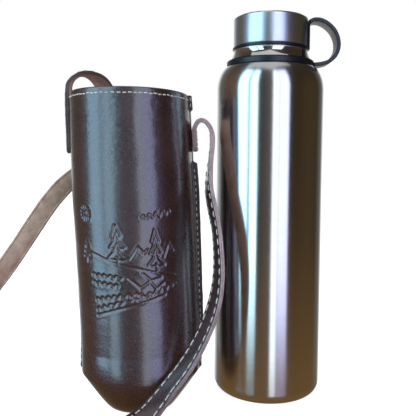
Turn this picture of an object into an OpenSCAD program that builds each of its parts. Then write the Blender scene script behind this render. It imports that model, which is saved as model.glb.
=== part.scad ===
// Insulated steel canteen with a screw lid and a rubber carry loop, and its stitched leather
// carrying case with a shoulder strap, standing beside it. Millimetres, +Z up. The origin is
// the centre of the bottle's base.

/* [Bottle] */
// Outer radius of the steel body
body_r = 43; // [42:0.5:44]
// Height at which the shoulder starts
shoulder_z = 244; // [242:1:245]
// Radius of the rounded bottom corner
corner_r = 9; // [6:1:12]
// Wall thickness of the outer shell
shell_t = 0.9; // [0.7:0.1:1]
// Wall thickness of the inner liner
liner_t = 0.8; // [0.6:0.1:1]
// Vacuum gap between the shell and the liner
vacuum_gap = 2.7; // [2.4:0.1:3]
// Inner radius of the mouth
mouth_r = 25; // [24.5:0.1:25]

/* [Lid] */
// Outer radius of the steel lid
lid_r = 29.66; // [29.5:0.02:29.7]
// Height of the top of the closed lid
lid_top_z = 302; // [300:1:304]
// Rise of the lid in one full turn
thread_lead = 8; // [7:0.5:9]
// Number of thread starts
thread_starts = 2; // [1:1:2]
// Turns in one thread ridge
thread_turns = 1.25; // [0.75:0.25:1.25]

/* [Carry loop] */
// Width of the rubber band
band_w = 16; // [12:1:17]
// Thickness of the rubber band
band_t = 3; // [2.5:0.1:3]

/* [Leather case] */
// Height of the case at its side seams
case_h = 239; // [236:1:241]
// Thickness of the outer leather
leather_t = 2.2; // [1.8:0.1:2.4]
// Thickness of the suede lining
lining_t = 1.1; // [0.8:0.1:1.3]
// Width of the raw edge that stands out at each side seam
fin_w = 3.5; // [3:0.5:4]

/* [Shoulder strap] */
// Width of the strap
strap_w = 16; // [14:0.5:17]
// Thickness of each of the strap's two layers
ply_t = 1.7; // [1.5:0.1:1.8]
// Distance between neighbouring strap stitches
strap_pitch = 7; // [6:0.5:9]

/* [Hidden] */
$fn = 96;

fit_gap = 0.05;     // between pieces of one body that touch
run_gap = 0.3;      // between pieces that move past each other

// Bottle: heights and radii that follow from the driving sizes
base_hole_r = 27;
shoulder_a = 13;
shoulder_b = 21;
ring_z0 = 262.6;
ring_z1 = 267.9;
groove_r = 32.3;
flare_r = 33.2;
neck_r = 30;
lip_z = 276;
lip_t = 0.8;
liner_r = body_r - shell_t - vacuum_gap;
liner_z = 5;
liner_corner = 6;
throat_z = 236;
throat_b = 20;
plug_r = mouth_r - 1.6;
plug_z = 256;
ridge_depth = 1.3;

// Lid: heights from the neck's lip upwards
gasket_z = lip_z + 0.15;
flange_z = lip_z + 1.35;
lid_z = 278.9;
lid_wall = 0.7;
bevel = 1;
ring_bottom_z = lip_z + run_gap;
plate_top_z = 299.5;
plate_r = lid_r + run_gap;
plate_t = 1.45;
rubber_r = 34.9;

steel = [0.72, 0.72, 0.74];
black = [0.07, 0.07, 0.08];
leather = [0.24, 0.15, 0.13];
suede = [0.62, 0.47, 0.34];
thread = [0.90, 0.85, 0.74];

function lerp(a, b, s) = a + (b - a) * s;
function arc(cx, cz, rx, rz, a0, a1, n) =
    [for (i = [0 : n]) let (a = lerp(a0, a1, i / n)) [cx + rx * cos(a), cz + rz * sin(a)]];
function unit(v) = v / norm(v);

module lathe(points) {
    rotate_extrude() polygon(points);
}

module tube(r_in, r_out, z0, z1) {
    lathe([[r_in, z0], [r_out, z0], [r_out, z1], [r_in, z1]]);
}

// One helical ridge. Its root lies inside the wall it grows from, and its crest inside or
// outside that wall. The section is [radius, height] at the four corners.
module thread_ridge(root_r, crest_r, root_w, crest_w, z0, start_angle) {
    steps = round(36 * thread_turns);
    fade = 3;
    points = [for (i = [0 : steps])
        let (a = start_angle + 360 * thread_turns * i / steps,
             z = z0 + thread_lead * thread_turns * i / steps,
             grown = min(1, (i + 0.4) / fade, (steps - i + 0.4) / fade),
             r = lerp(root_r, crest_r, grown))
        for (p = [[root_r, -root_w / 2], [r, -crest_w / 2], [r, crest_w / 2], [root_r, root_w / 2]])
            [p[0] * cos(a), p[0] * sin(a), z + p[1]]];
    sides = [for (i = [0 : steps - 1], k = [0 : 3])
        let (n = (k + 1) % 4)
        each [[4 * i + k, 4 * i + n, 4 * i + 4 + n], [4 * i + k, 4 * i + 4 + n, 4 * i + 4 + k]]];
    ends = [[3, 2, 1, 0], [for (k = [0 : 3]) 4 * steps + k]];
    outward = concat(sides, ends);
    flipped = [for (f = outward) [for (j = [len(f) - 1 : -1 : 0]) f[j]]];
    polyhedron(points, crest_r > root_r ? outward : flipped);
}

// ---------------------------------------------------------------- bottle

module outer_shell() {
    flare_steps = 8;
    flare_top = lip_z - lip_t - fit_gap;
    outside = concat(
        [[base_hole_r, 0]],
        arc(body_r - corner_r, corner_r, corner_r, corner_r, -90, 0, 8),
        arc(body_r - shoulder_a, shoulder_z, shoulder_a, shoulder_b, 0, 62.3, 14),
        [[groove_r, ring_z0], [groove_r, ring_z1]],
        [for (i = [0 : flare_steps]) let (s = i / flare_steps)
            [neck_r + (flare_r - neck_r) * pow(1 - s, 1.6), lerp(ring_z1, flare_top, s)]]);
    inner_r = corner_r - shell_t;
    inside = concat(
        [[neck_r - shell_t, flare_top], [neck_r - shell_t, flare_top - 1],
         [groove_r - shell_t, ring_z1 + 0.3], [groove_r - shell_t, ring_z0 - shell_t]],
        arc(body_r - shoulder_a, shoulder_z, shoulder_a - shell_t, shoulder_b - shell_t, 58, 0, 12),
        arc(body_r - corner_r, corner_r, inner_r, inner_r, 0, -90, 8),
        [[base_hole_r, shell_t]]);
    color(steel) lathe(concat(outside, inside));
}

module inner_liner() {
    outside = concat(
        [[0, liner_z]],
        arc(liner_r - liner_corner, liner_z + liner_corner, liner_corner, liner_corner, -90, 0, 6),
        arc(mouth_r + liner_t, throat_z, liner_r - mouth_r - liner_t, throat_b, 0, 90, 10),
        [[mouth_r + liner_t, lip_z - lip_t], [neck_r, lip_z - lip_t], [neck_r, lip_z], [mouth_r, lip_z]]);
    in_r = liner_r - liner_t;
    in_corner = liner_corner - liner_t;
    inside = concat(
        arc(mouth_r, throat_z, in_r - mouth_r, throat_b - liner_t, 90, 0, 10),
        arc(in_r - in_corner, liner_z + liner_corner, in_corner, in_corner, 0, -90, 6),
        [[0, liner_z + liner_t]]);
    color(steel) union() {
        lathe(concat(outside, inside));
        for (k = [0 : thread_starts - 1])
            thread_ridge(mouth_r + 0.3, mouth_r - ridge_depth + 0.1, 1.6, 1, 263,
                         360 * k / thread_starts + 90);
    }
}

module base_plate() {
    color(steel) difference() {
        cylinder(r = base_hole_r - fit_gap, h = 1.2);
        translate([0, 0, -1]) tube(18, 20, 0.9, 1.4);
    }
}

module vacuum_getter() {
    color([0.45, 0.45, 0.47]) translate([0, 0, liner_z - 1.6]) cylinder(r = 7, h = 1.5);
}

// ---------------------------------------------------------------- lid

module lid_shell() {
    in_r = lid_r - lid_wall;
    color(steel) lathe([
        [in_r, lid_z], [lid_r, lid_z], [lid_r, lid_top_z - bevel], [lid_r - bevel, lid_top_z],
        [0, lid_top_z], [0, lid_top_z - 0.8], [in_r - 0.6, lid_top_z - 0.8],
        [in_r, lid_top_z - 1.4]]);
}

module lid_plug() {
    flange_r = lid_r - lid_wall - 0.1;
    color(black) union() {
        lathe([
            [0, plug_z], [plug_r - 1, plug_z], [plug_r, plug_z + 1], [plug_r, flange_z],
            [27, flange_z], [27, lid_z + fit_gap], [flange_r, lid_z + fit_gap],
            [flange_r, lid_z + 2.1], [plug_r - 2, lid_z + 2.1], [plug_r - 2, plug_z + 2],
            [0, plug_z + 2]]);
        for (k = [0 : thread_starts - 1])
            thread_ridge(plug_r - 0.4, plug_r + ridge_depth, 1.6, 1,
                         263 + thread_lead / thread_starts / 2, 360 * k / thread_starts + 90);
    }
}

module lid_insulation() {
    core_r = plug_r - 2.1;
    top_r = lid_r - lid_wall - 0.2;
    color([0.93, 0.92, 0.85]) lathe([
        [0, plug_z + 2.1], [core_r, plug_z + 2.1], [core_r, lid_z + 2.2], [top_r, lid_z + 2.2],
        [top_r, lid_top_z - 1.5], [0, lid_top_z - 1.5]]);
}

module lid_gasket() {
    color([0.80, 0.80, 0.78]) tube(plug_r + 0.3, 26.8, gasket_z, gasket_z + 1);
}

// ---------------------------------------------------------------- carry loop

module lid_ring() {
    color(black) union() {
        tube(27.3, neck_r + 0.4, ring_bottom_z, lid_z - run_gap);
        intersection() {
            tube(plate_r, plate_r + plate_t, ring_bottom_z, plate_top_z);
            translate([0, -band_w / 2 - 0.5, ring_bottom_z])
                cube([lid_r + 5, band_w + 1, plate_top_z - ring_bottom_z]);
        }
    }
}

// The middle line of the band, from the lid's side round to the neck.
BAND = [[29, 299.5], [34, 300.6], [39, 300.2], [44.5, 297.6], [49.8, 292.6], [53, 286],
        [53.6, 279], [51.4, 272.8], [46.5, 268], [40.5, 265.6], [35, 264.8], [31, 264.8]];

function band_side(side) = [for (i = [0 : len(BAND) - 1])
    let (a = BAND[max(i - 1, 0)], b = BAND[min(i + 1, len(BAND) - 1)], d = unit(b - a))
    BAND[i] + side * band_t / 2 * [d[1], -d[0]]];

module loop_band() {
    near = band_side(-1);
    far = band_side(1);
    outline = concat(near, [for (i = [len(far) - 1 : -1 : 0]) far[i]]);
    color(black) difference() {
        translate([0, band_w / 2, 0]) rotate([90, 0, 0])
            linear_extrude(band_w) polygon(outline);
        translate([0, 0, 285]) cylinder(r = plate_r + plate_t + fit_gap, h = 30);
        translate([0, 0, 255]) cylinder(r = rubber_r + run_gap, h = 20);
    }
}

module neck_ring() {
    z0 = ring_z0 + run_gap;
    z1 = ring_z1 - run_gap;
    in_r = groove_r + run_gap;
    soft = 0.8;
    color(black) lathe([
        [in_r, z0], [rubber_r - soft, z0], [rubber_r, z0 + soft],
        [rubber_r, z1 - soft], [rubber_r - soft, z1], [in_r, z1]]);
}

// ---------------------------------------------------------------- leather case

// Half-width, half-depth, centre and turn of the case at each height. The bottom is a folded
// strip: its depth closes in a quarter ellipse and its corners are cut off at a slant.
fold_h = 42;
chamfer_h = 26;
foot_a = 25;
foot_b = 21;
t_fin = 2.12;
ring_steps = 20;
squareness = 0.92;
function case_a(z) = lookup(z, [[0, foot_a], [chamfer_h, 45.9], [60, 46.6], [120, 47.6],
                                [165, 48.3], [215, 47.5], [case_h, 47.3]]);
function case_b(z) = z < fold_h
    ? foot_b + (47.8 - foot_b) * sqrt(1 - pow(1 - z / fold_h, 2))
    : lookup(z, [[fold_h, 47.8], [case_h, 47.3]]);
function case_x(z) = lookup(z, [[0, -100.5], [57, -102], [123, -105.5], [188, -109.2], [case_h, -111.6]]);
function case_y(z) = lookup(z, [[0, -29], [45, -19.5], [case_h, -7]]);
function case_turn(z) = lookup(z, [[0, 5], [40, 0], [case_h, -9]]);
function signed_pow(v, p) = sign(v) * pow(abs(v), p);
rim_lift = 2.5;

function place(z, p) = let (w = case_turn(z))
    [case_x(z) + p[0] * cos(w) - p[1] * sin(w),
     case_y(z) + p[0] * sin(w) + p[1] * cos(w),
     z - rim_lift * pow(z / case_h, 3) * p[1] / case_b(z)];
function oval(z, t, inset) =
    [(case_a(z) - inset) * signed_pow(cos(t), squareness),
     (case_b(z) - inset) * signed_pow(sin(t), squareness)];
function on_case(z, t, inset) = place(z, oval(z, t, inset));

// The strap's ends lie flat over the seams, so the raw edge is trimmed off under them.
function fin(z, side) = side > 0
    ? (z > 187 && z < 227 ? 0.2 : lookup(z, [[0, 2], [35, 2], [60, fin_w], [187, fin_w], [227, 2]]))
    : (z > 187 ? 0.2 : 2);
function fin_half(z) = case_b(z) * pow(sin(t_fin), squareness);
function side_angles(start) =
    [for (i = [0 : ring_steps]) start + t_fin + i * (180 - 2 * t_fin) / ring_steps];

function case_ring(z, inset, fins) = let (a = case_a(z) - inset, h = fin_half(z)) concat(
    [for (t = side_angles(0)) oval(z, t, inset)],
    [[-a - (fins ? fin(z, -1) : 0), fins ? h : 0.6], [-a - (fins ? fin(z, -1) : 0), fins ? -h : -0.6]],
    [for (t = side_angles(180)) oval(z, t, inset)],
    [[a + (fins ? fin(z, 1) : 0), fins ? -h : -0.6], [a + (fins ? fin(z, 1) : 0), fins ? h : 0.6]]);

LEVELS = [0, 2, 5, 10, 15, 20, chamfer_h, 35, 45, 60, 80, 105, 130, 155, 175, 186.5, 187.5,
          205, 226.5, 227.5, case_h];

// A closed-bottomed layer between two insets from the case's outer surface.
module case_layer(from_inset, to_inset, floor_z, fins) {
    t = to_inset - from_inset;
    n = len(case_ring(0, 0, false));
    m = len(LEVELS);
    function level(k, base) = base + LEVELS[k] * (case_h - base) / case_h;
    outer = [for (k = [0 : m - 1]) each
        [for (p = case_ring(level(k, floor_z), from_inset, fins)) place(level(k, floor_z), p)]];
    inner = [for (k = [0 : m - 1]) each
        [for (p = case_ring(level(k, floor_z + t), to_inset, false)) place(level(k, floor_z + t), p)]];
    skirt = [for (k = [0 : m - 2], i = [0 : n - 1])
        let (j = (i + 1) % n, a = k * n + i, b = k * n + j)
        each [[a, a + n, b + n], [a, b + n, b]]];
    bore = [for (f = skirt) [f[2] + m * n, f[1] + m * n, f[0] + m * n]];
    rim = [for (i = [0 : n - 1])
        let (j = (i + 1) % n, a = (m - 1) * n + i, b = (m - 1) * n + j)
        each [[a, a + m * n, b + m * n], [a, b + m * n, b]]];
    floor_out = [[for (i = [0 : n - 1]) i]];
    floor_in = [[for (i = [n - 1 : -1 : 0]) i + m * n]];
    polyhedron(concat(outer, inner), concat(skirt, bore, rim, floor_out, floor_in));
}

module case_panel() {
    color(leather) case_layer(0, leather_t, 0, true);
}

module case_lining() {
    gap = leather_t + fit_gap;
    color(suede) case_layer(gap, gap + lining_t, gap, false);
}

// A stitch lies on a surface at a point, along a direction, with its back to the surface.
module stitch(at, along, out, length, lift = 0.15) {
    x = unit(along);
    z = unit(out - (out * x) * x);
    y = cross(z, x);
    m = [[x[0], y[0], z[0], at[0]], [x[1], y[1], z[1], at[1]], [x[2], y[2], z[2], at[2]], [0, 0, 0, 1]];
    color(thread) multmatrix(m) translate([-length / 2, -0.4, lift]) cube([length, 0.8, 0.7]);
}

module rim_stitches() {
    count = 78;
    z = case_h - 4.5;
    for (k = [0 : count - 1]) {
        t = 360 * (k + 0.5) / count;
        if (min(abs(t - 0), abs(t - 360)) > 5 && abs(t - 191) > 18)
            stitch(on_case(z, t, 0), on_case(z, t + 1, 0) - on_case(z, t - 1, 0),
                   on_case(z, t, 0) - on_case(z, t, 5), 2.6);
    }
}

// A row of stitches on both faces of the raw edge at one side seam.
module fin_stitches(side, heights, length) {
    for (z = heights, face = [-1, 1]) {
        a = side * (case_a(z) + 1.1);
        b = side * (case_a(z + 1) + 1.1);
        y = face * (fin_half(z) + 0.25);
        y_next = face * (fin_half(z + 1) + 0.25);
        out = place(z, [a, y + face]) - place(z, [a, y]);
        stitch(place(z, [a, y]), place(z + 1, [b, y_next]) - place(z, [a, y]), out, length);
    }
}

module left_seam_stitches() {
    fin_stitches(-1, [for (z = [30 : 5 : 180]) z], 3.2);
}

module right_seam_stitches() {
    fin_stitches(1, concat([for (z = [30 : 5 : 182]) z], [231, 235.5]), 3.2);
}

module corner_stitches() {
    for (side = [-1, 1]) fin_stitches(side, [for (z = [3 : 3 : 24]) z], 2.8);
}

// ---------------------------------------------------------------- shoulder strap

// The strap's route: a point, then the direction that the smooth outer face looks in. It
// starts on the left side seam, arches over the rim, drops behind the case, swings out to
// the left, stands on its edge on the floor round the front and climbs to the right seam.
ROUTE = [
    [-159.5, -9, 193, -1, 0, 0], [-159.9, -9, 208, -1, 0, 0], [-160.4, -9, 223, -1, 0, 0],
    [-160.9, -8, 236, -1, 0, 0], [-161.2, -5, 245.5, -1, 0, 0.2], [-159.2, 0.5, 253, -0.8, -0.3, 0.7],
    [-155, 8, 257.8, -0.4, -0.3, 1], [-149, 15.5, 258.8, 0, 0, 1], [-143, 23.5, 255.5, 0.2, 0.4, 1],
    [-139.3, 32, 248.5, 0.2, 0.8, 0.6], [-137.3, 39.5, 239, 0.1, 1, 0.2], [-136.6, 44, 227, 0, 1, 0],
    [-137.8, 47, 213, 0, 1, 0], [-142, 49.5, 199, 0, 1, 0], [-151, 50.5, 187, 0, 1, 0],
    [-164, 48, 176, 0, 1, 0], [-178, 43, 164, 0, 1, 0.1], [-190, 38, 149, 0, 1, 0.1],
    [-201, 34, 132, 0, 1, 0.1], [-212, 30, 114, -0.1, 1, 0], [-224, 25, 95, -0.3, 1, 0],
    [-237, 19, 76, -0.5, 1, 0], [-250, 11, 58, -0.7, 1, 0], [-262, 0, 41, -0.9, 0.8, 0],
    [-271, -14, 26, -1, 0.5, 0], [-275, -31, 14, -1, 0.2, 0], [-274, -50, 9, -1, 0, 0],
    [-267, -70, 8.5, -1, -0.4, 0], [-254, -88, 8.5, -0.8, -0.8, 0], [-236, -102, 8.5, -0.5, -1, 0],
    [-214, -111, 8.5, -0.2, -1, 0], [-190, -115, 8.5, 0, -1, 0], [-166, -115, 8.5, 0, -1, 0],
    [-143, -112.5, 8.5, 0.1, -1, 0], [-122, -108, 8.6, 0.1, -1, 0.1], [-105, -101, 9.5, 0, -1, 0.3],
    [-92.5, -91, 13.5, -0.3, -0.8, 0.5], [-83, -80.5, 20.5, -0.5, -0.7, 0.5], [-75, -73.5, 29, -0.65, -0.6, 0.45],
    [-66.8, -69, 38.5, -0.7, -0.55, 0.4], [-58.6, -65, 50.5, -0.75, -0.5, 0.35], [-52, -61, 62.5, -0.8, -0.5, 0.3],
    [-46.3, -57, 76, -0.85, -0.5, 0.2], [-42.5, -54, 91, -0.9, -0.45, 0.1], [-41, -51, 107, -0.95, -0.4, 0],
    [-41.5, -47, 123, -1, -0.35, 0], [-43, -42, 138, -1, -0.3, 0], [-46, -37, 152, -1, -0.3, 0],
    [-48.5, -31, 166, -1, -0.25, 0], [-48.3, -26, 180, -1, -0.15, 0], [-46.8, -22, 193, -1, 0, 0],
    [-46, -19, 204, -1, 0, 0], [-47.6, -17, 212.5, -1, 0, -0.4], [-52, -16, 218.6, -0.4, 0, -1],
    [-57, -15.5, 218.8, 0.5, 0, -1], [-59.9, -15.5, 213, 1, 0, -0.2], [-59.7, -15.5, 204.5, 1, 0, 0],
    [-59, -15.5, 195, 1, 0, 0]];
strap_row = 2.6;    // from the strap's edge to a row of stitches

function route_point(i) = let (p = ROUTE[max(0, min(i, len(ROUTE) - 1))]) [p[0], p[1], p[2]];
function route_normal(i) = let (p = ROUTE[max(0, min(i, len(ROUTE) - 1))]) unit([p[3], p[4], p[5]]);
function through(p0, p1, p2, p3, s) =
    0.5 * ((2 * p1) + (p2 - p0) * s + (2 * p0 - 5 * p1 + 4 * p2 - p3) * s * s
           + (3 * p1 - p0 - 3 * p2 + p3) * s * s * s);
function strap_point(u) = let (i = min(floor(u), len(ROUTE) - 2))
    through(route_point(i - 1), route_point(i), route_point(i + 1), route_point(i + 2), u - i);
function strap_along(u) = unit(strap_point(min(u + 0.05, len(ROUTE) - 1)) - strap_point(max(u - 0.05, 0)));
function strap_out(u) = let (i = min(floor(u), len(ROUTE) - 2), t = strap_along(u),
                             n = lerp(route_normal(i), route_normal(i + 1), u - i))
    unit(n - (n * t) * t);

// One ply of the strap, between two heights over its middle surface.
module strap_ply(low, high) {
    span_steps = 4;
    steps = span_steps * (len(ROUTE) - 1);
    corners = [[-strap_w / 2, low], [strap_w / 2, low], [strap_w / 2, high], [-strap_w / 2, high]];
    points = [for (k = [0 : steps])
        let (u = k / span_steps, c = strap_point(u), n = strap_out(u), w = cross(strap_along(u), n))
        for (q = corners) c + q[0] * w + q[1] * n];
    // Both wide faces split their quads along the same diagonal, so two plies never cross.
    sides = [for (i = [0 : steps - 1], k = [0 : 3])
        let (a = 4 * i + k, b = 4 * i + (k + 1) % 4)
        each k == 2 ? [[a, b, a + 4], [b, b + 4, a + 4]] : [[a, b, b + 4], [a, b + 4, a + 4]]];
    polyhedron(points, concat(sides, [[3, 2, 1, 0], [for (k = [0 : 3]) 4 * steps + k]]));
}

module strap_outer() {
    color(leather) strap_ply(fit_gap / 2, ply_t);
}

module strap_lining() {
    color(suede) strap_ply(-ply_t, -fit_gap / 2);
}

// Length along the strap at every route point, to space the stitches evenly.
LENGTHS = [for (i = 0, s = 0; i < len(ROUTE);
    s = s + (i < len(ROUTE) - 1 ? norm(route_point(i + 1) - route_point(i)) : 0), i = i + 1) s];
function at_length(s) = lookup(s, [for (i = [0 : len(LENGTHS) - 1]) [LENGTHS[i], i]]);

function row_point(u, side) =
    strap_point(u) + ply_t * strap_out(u)
    + side * (strap_w / 2 - strap_row) * cross(strap_along(u), strap_out(u));
function row_along(u, side) = row_point(u + 0.15, side) - row_point(u - 0.15, side);

module strap_stitches() {
    total = LENGTHS[len(LENGTHS) - 1];
    for (s = [38 : strap_pitch : total - 38], side = [-1, 1]) {
        u = at_length(s);
        stitch(row_point(u, side), row_along(u, side), strap_out(u), 4.6, 0.55);
    }
}

// A box of stitches that sews one end of the strap to the case.
module anchor_stitches(u_low, u_high) {
    for (side = [-1, 1], k = [0 : 4]) {
        u = lerp(u_low, u_high, k / 4);
        stitch(row_point(u, side), strap_along(u), strap_out(u), 3);
    }
    for (u = [u_low, u_high], side = [-1, 0, 1]) {
        w = cross(strap_along(u), strap_out(u));
        stitch(strap_point(u) + ply_t * strap_out(u) + 3 * side * w, w, strap_out(u), 2);
    }
}

module left_anchor_stitches() {
    anchor_stitches(0.25, 2);
}

module right_anchor_stitches() {
    last = len(ROUTE) - 1;
    anchor_stitches(last - 0.3, last - 1.7);
}

outer_shell();
inner_liner();
base_plate();
vacuum_getter();
lid_shell();
lid_plug();
lid_insulation();
lid_gasket();
lid_ring();
loop_band();
neck_ring();
case_panel();
case_lining();
rim_stitches();
left_seam_stitches();
right_seam_stitches();
corner_stitches();
strap_outer();
strap_lining();
strap_stitches();
left_anchor_stitches();
right_anchor_stitches();
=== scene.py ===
import math

import bpy
import numpy as np
from mathutils import Matrix, Vector, noise


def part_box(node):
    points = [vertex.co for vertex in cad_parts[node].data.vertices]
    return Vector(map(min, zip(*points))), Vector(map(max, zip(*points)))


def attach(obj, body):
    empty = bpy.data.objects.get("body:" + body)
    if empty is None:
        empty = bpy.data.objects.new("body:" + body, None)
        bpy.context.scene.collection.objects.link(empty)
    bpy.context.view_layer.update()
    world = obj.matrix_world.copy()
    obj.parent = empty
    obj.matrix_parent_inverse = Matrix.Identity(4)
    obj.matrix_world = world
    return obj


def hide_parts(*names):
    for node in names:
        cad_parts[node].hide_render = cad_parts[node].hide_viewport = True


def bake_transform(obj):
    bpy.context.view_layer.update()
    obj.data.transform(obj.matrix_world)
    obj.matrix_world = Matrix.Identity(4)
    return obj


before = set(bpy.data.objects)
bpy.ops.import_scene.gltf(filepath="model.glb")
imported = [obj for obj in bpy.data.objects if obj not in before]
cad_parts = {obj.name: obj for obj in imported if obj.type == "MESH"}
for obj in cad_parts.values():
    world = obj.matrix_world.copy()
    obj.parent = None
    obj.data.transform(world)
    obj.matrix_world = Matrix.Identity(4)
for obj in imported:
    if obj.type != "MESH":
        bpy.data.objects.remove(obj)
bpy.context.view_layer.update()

MM = 0.001


# ---------------------------------------------------------------- camera

def make_camera():
    """The camera stands close in front, a little under two thirds of the way up, and looks slightly down."""
    data = bpy.data.cameras.new("camera")
    camera = bpy.data.objects.new("camera", data)
    bpy.context.scene.collection.objects.link(camera)
    pitch, roll = 0.0649, 0.0081
    place = Matrix.Translation((-0.0494, -0.468, 0.1921))
    camera.matrix_world = place @ Matrix.Rotation(math.pi / 2 - pitch, 4, "X") @ Matrix.Rotation(roll, 4, "Z")
    data.sensor_width = 36
    data.lens = 49.45
    data.shift_y = -0.037
    data.clip_start = 0.01
    bpy.context.scene.camera = camera


# ---------------------------------------------------------------- node materials

def fill_ramp(ramp, stops):
    while len(ramp.elements) < len(stops):
        ramp.elements.new(0.5)
    for element, (at, colour) in zip(ramp.elements, stops):
        element.position = at
        element.color = (*colour, 1)


class Shader:
    """A material and short calls that add and join its nodes."""

    def __init__(self, name):
        self.material = bpy.data.materials.new(name)
        self.material.use_nodes = True
        self.tree = self.material.node_tree
        self.bsdf = self.tree.nodes["Principled BSDF"]
        self.place = self.add("ShaderNodeTexCoord").outputs["Object"]

    def add(self, kind, inputs=None, **props):
        node = self.tree.nodes.new(kind)
        for key, value in props.items():
            setattr(node, key, value)
        for key, value in (inputs or {}).items():
            self.put(node.inputs[key], value)
        return node

    def put(self, socket, value):
        if isinstance(value, bpy.types.NodeSocket):
            self.tree.links.new(value, socket)
        else:
            socket.default_value = value

    def set(self, **values):
        for key, value in values.items():
            self.put(self.bsdf.inputs[key.replace("_", " ")], value)

    def scaled(self, x, y=None, z=None):
        y, z = (x if y is None else y), (x if z is None else z)
        return self.add("ShaderNodeMapping", {"Vector": self.place, "Scale": (x, y, z)}).outputs[0]

    def noise(self, vector, detail=3.0, rough=0.5):
        return self.add("ShaderNodeTexNoise", {"Vector": vector, "Scale": 1.0, "Detail": detail,
                                               "Roughness": rough}).outputs["Fac"]

    def cells(self, vector, scale=1.0):
        return self.add("ShaderNodeTexVoronoi", {"Vector": vector, "Scale": scale}).outputs["Distance"]

    def ramp(self, value, stops):
        node = self.add("ShaderNodeValToRGB", {"Fac": value})
        fill_ramp(node.color_ramp, stops)
        return node.outputs["Color"]

    def span(self, value, low, high, out_low=0.0, out_high=1.0):
        return self.add("ShaderNodeMapRange", {"Value": value, "From Min": low, "From Max": high,
                                               "To Min": out_low, "To Max": out_high}).outputs[0]

    def maths(self, operation, a, b=0.0):
        node = self.add("ShaderNodeMath", operation=operation)
        self.put(node.inputs[0], a)
        self.put(node.inputs[1], b)
        return node.outputs[0]

    def mix(self, factor, a, b):
        node = self.add("ShaderNodeMix", data_type="RGBA")
        self.put(node.inputs["Factor"], factor)
        self.put(node.inputs[6], a if not isinstance(a, tuple) or len(a) == 4 else (*a, 1))
        self.put(node.inputs[7], b if not isinstance(b, tuple) or len(b) == 4 else (*b, 1))
        return node.outputs[2]

    def bump(self, height, strength, distance, normal=None):
        inputs = {"Height": height, "Strength": strength, "Distance": distance}
        if normal is not None:
            inputs["Normal"] = normal
        return self.add("ShaderNodeBump", inputs).outputs["Normal"]


def brushed_steel(name, tint=(0.66, 0.645, 0.63), rough=0.2, anisotropy=0.8):
    """Steel brushed in fine rings round the bottle's axis, so that reflections run up and down it."""
    s = Shader(name)
    fine = s.noise(s.scaled(10, 10, 5200), detail=2)
    coarse = s.noise(s.scaled(5, 5, 1300), detail=3)
    cloud = s.noise(s.scaled(22, 22, 9), detail=3)
    grain = s.mix(0.5, fine, coarse)
    s.set(Base_Color=s.mix(s.span(grain, 0.3, 0.7, 0, 0.22), tint, tuple(c * 0.78 for c in tint)),
          Metallic=1.0, Anisotropic=anisotropy, Anisotropic_Rotation=0.25,
          Roughness=s.maths("ADD", s.span(grain, 0.25, 0.75, rough - 0.05, rough + 0.06),
                            s.span(cloud, 0.3, 0.7, -0.02, 0.02)),
          Tangent=s.add("ShaderNodeTangent", direction_type="RADIAL", axis="Z").outputs[0],
          Normal=s.bump(grain, 0.11, 0.0001))
    return s.material


def polished_steel(name):
    """Bright, nearly mirror-like steel with faint smears."""
    s = Shader(name)
    smear = s.noise(s.scaled(60, 60, 240), detail=3)
    s.set(Base_Color=(0.72, 0.70, 0.68, 1), Metallic=1.0,
          Roughness=s.span(smear, 0.3, 0.7, 0.05, 0.13), Normal=s.bump(smear, 0.03, 0.0003))
    return s.material


def satin_steel(name):
    """Drawn steel inside the bottle, with faint rings."""
    s = Shader(name)
    rings = s.noise(s.scaled(8, 8, 1500), detail=3)
    s.set(Base_Color=s.ramp(rings, [(0.3, (0.50, 0.49, 0.48)), (0.7, (0.66, 0.65, 0.64))]), Metallic=1.0,
          Roughness=s.span(rings, 0.3, 0.7, 0.26, 0.38), Normal=s.bump(rings, 0.15, 0.0002))
    return s.material


def moulded(name, colour, rough, speckle=2400, bump=0.12):
    """Moulded plastic, rubber or silicone: a very fine spark-eroded grain and slightly uneven gloss."""
    s = Shader(name)
    grain = s.noise(s.scaled(speckle), detail=2)
    cloud = s.noise(s.scaled(45), detail=4)
    dark = tuple(c * 0.75 for c in colour)
    s.set(Base_Color=s.mix(s.span(cloud, 0.3, 0.7), colour, dark),
          Roughness=s.maths("ADD", s.span(grain, 0.3, 0.7, rough - 0.05, rough + 0.05),
                            s.span(cloud, 0.35, 0.65, -0.04, 0.06)),
          Normal=s.bump(grain, bump, 0.0002))
    return s.material


def foam(name):
    """Rigid foam with small pores."""
    s = Shader(name)
    pores = s.cells(s.scaled(900))
    s.set(Base_Color=s.ramp(pores, [(0.0, (0.70, 0.66, 0.55)), (0.5, (0.88, 0.86, 0.78))]),
          Roughness=0.9, Normal=s.bump(pores, 0.6, 0.0005))
    return s.material


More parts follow.
